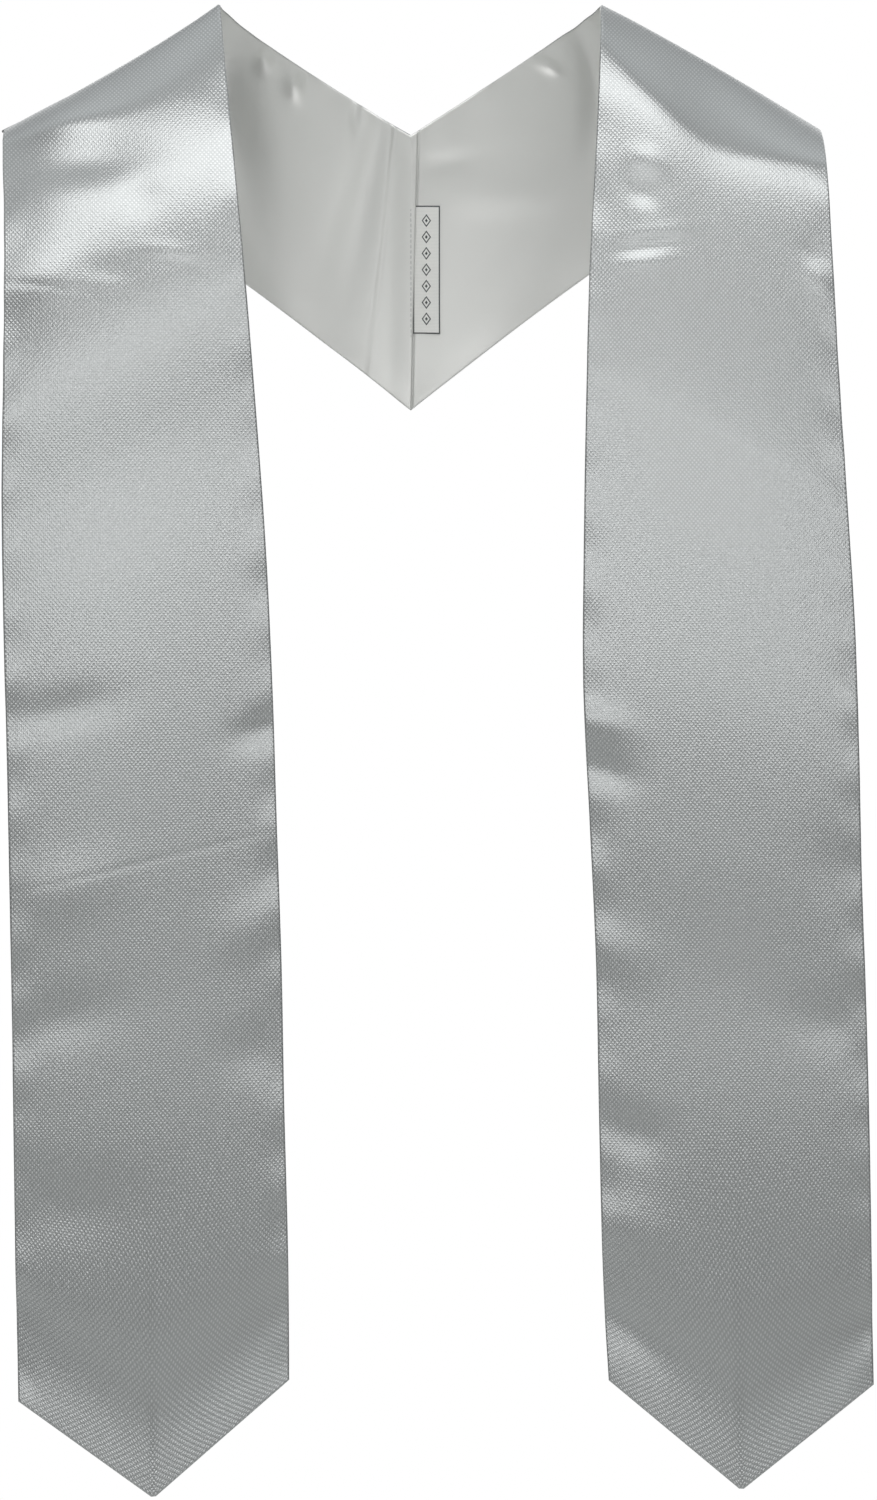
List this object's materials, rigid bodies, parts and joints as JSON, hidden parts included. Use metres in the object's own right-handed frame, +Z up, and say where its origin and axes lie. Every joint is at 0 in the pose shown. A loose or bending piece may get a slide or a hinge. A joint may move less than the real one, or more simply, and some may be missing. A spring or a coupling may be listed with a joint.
{
  "type": "graduation stole",
  "caption": "Lined satin stole with a mitred nape seam, two bands that fall over the shoulders to pointed hems, and a small woven label.",
  "frame": {"origin": "midway between the middles of the two shoulder folds, where the stole sits on the wearer's shoulders", "axes": "+Z up, -Y to the wearer's front, so the bands hang in front of the origin and the nape seam lies behind it; +X is the right of the front view"},
  "size_m": [0.417, 0.1888, 0.7167],
  "materials": {
    "satin_face": "silver-grey polyester satin, soft sheen",
    "lining_cloth": "the duller back of the same grey satin",
    "label_tape": "off-white woven tape, bare of lettering"
  },
  "bodies": {
    "root": {"left_face": "satin_face", "right_face": "satin_face", "left_lining": "lining_cloth", "right_lining": "lining_cloth", "neck_label": "label_tape"}
  },
  "joints": []
}
